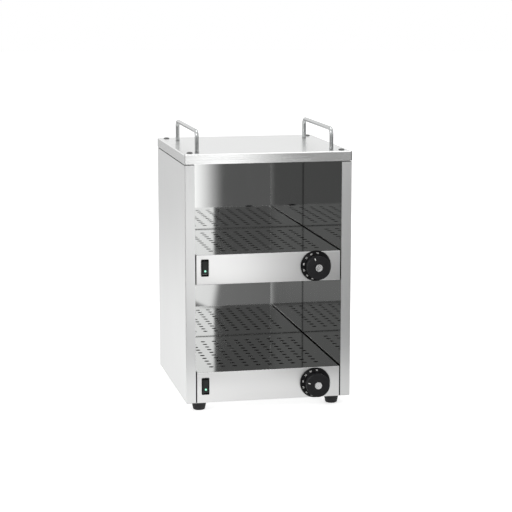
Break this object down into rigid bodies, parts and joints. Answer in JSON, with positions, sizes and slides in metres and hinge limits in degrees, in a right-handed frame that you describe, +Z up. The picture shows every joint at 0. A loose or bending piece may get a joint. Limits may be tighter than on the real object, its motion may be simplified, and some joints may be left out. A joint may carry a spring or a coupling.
{
  "type": "cup warmer",
  "caption": "Free-standing stainless warming cabinet with an open front, heated perforated shelves, dial thermostats, rocker switches and guard rails on its lid.",
  "frame": {"origin": "on the ground under the middle of the overall box", "axes": "+Z up, -Y out of the open front, +X to the right seen from the front"},
  "size_m": [0.33, 0.3857, 0.55],
  "materials": {
    "satin_steel": "satin brushed stainless",
    "fascia_steel": "bright brushed stainless",
    "polished_steel": "mirror polished",
    "rail_steel": "satin round bar",
    "plated_steel": "zinc plated",
    "heater_sheath": "heat darkened sheath",
    "black_plastic": "satin moulded",
    "rocker_plastic": "satin moulded",
    "ceramic_body": "matte",
    "white_mark": "inlaid mark",
    "cap_silver": "satin disc",
    "green_lens": "lit window",
    "brass_tabs": "stamped",
    "foot_rubber": "matte"
  },
  "bodies": {
    "cabinet": {"left_side_panel": "satin_steel", "right_side_panel": "satin_steel", "left_liner": "polished_steel", "right_liner": "polished_steel", "rear_liner": "polished_steel", "rear_panel": "satin_steel", "base_plate": "satin_steel", "lid": "satin_steel", "left_rail": "rail_steel", "right_rail": "rail_steel", "rail_nuts": "plated_steel", "lid_screws": "black_plastic", "rear_screws": "plated_steel", "left_front_foot": "foot_rubber", "left_rear_foot": "foot_rubber", "right_front_foot": "foot_rubber", "right_rear_foot": "foot_rubber", "foot_screws": "plated_steel", "foot_nuts": "plated_steel", "cable_gland": "black_plastic", "gland_nut": "black_plastic", "upper_tray_cover": "satin_steel", "left_shelf_bracket": "satin_steel", "right_shelf_bracket": "satin_steel", "upper_shelf_tray": "fascia_steel", "upper_heater": "heater_sheath", "upper_heater_strips": "plated_steel", "upper_dial_ring": "black_plastic", "upper_thermostat": "ceramic_body", "upper_thermostat_nut": "plated_steel", "upper_switch_housing": "black_plastic", "upper_switch_tabs": "brass_tabs", "lower_shelf_tray": "fascia_steel", "lower_heater": "heater_sheath", "lower_heater_strips": "plated_steel", "lower_dial_ring": "black_plastic", "lower_thermostat": "ceramic_body", "lower_thermostat_nut": "plated_steel", "lower_switch_housing": "black_plastic", "lower_switch_tabs": "brass_tabs"},
    "upper_dial_knob": {"upper_knob": "black_plastic", "upper_knob_cap": "cap_silver", "upper_knob_pointer": "white_mark", "upper_dial_shaft": "plated_steel"},
    "upper_switch_rocker": {"upper_rocker": "rocker_plastic", "upper_switch_lens": "green_lens"},
    "lower_dial_knob": {"lower_knob": "black_plastic", "lower_knob_cap": "cap_silver", "lower_knob_pointer": "white_mark", "lower_dial_shaft": "plated_steel"},
    "lower_switch_rocker": {"lower_rocker": "rocker_plastic", "lower_switch_lens": "green_lens"}
  },
  "joints": [
    {"name": "upper_dial_turn", "type": "hinge", "parent": "cabinet", "child": "upper_dial_knob", "pos_m": [0.0935, -0.1635, 0.283], "axis": [0, 1, 0], "range_deg": [-245, 31]},
    {"name": "upper_switch_tip", "type": "hinge", "parent": "cabinet", "child": "upper_switch_rocker", "pos_m": [-0.126, -0.1621, 0.2863], "axis": [1, 0, 0], "range_deg": [0, 18]},
    {"name": "lower_dial_turn", "type": "hinge", "parent": "cabinet", "child": "lower_dial_knob", "pos_m": [0.0935, -0.1635, 0.049], "axis": [0, 1, 0], "range_deg": [-196, 80]},
    {"name": "lower_switch_tip", "type": "hinge", "parent": "cabinet", "child": "lower_switch_rocker", "pos_m": [-0.126, -0.1621, 0.0523], "axis": [1, 0, 0], "range_deg": [0, 18]}
  ]
}
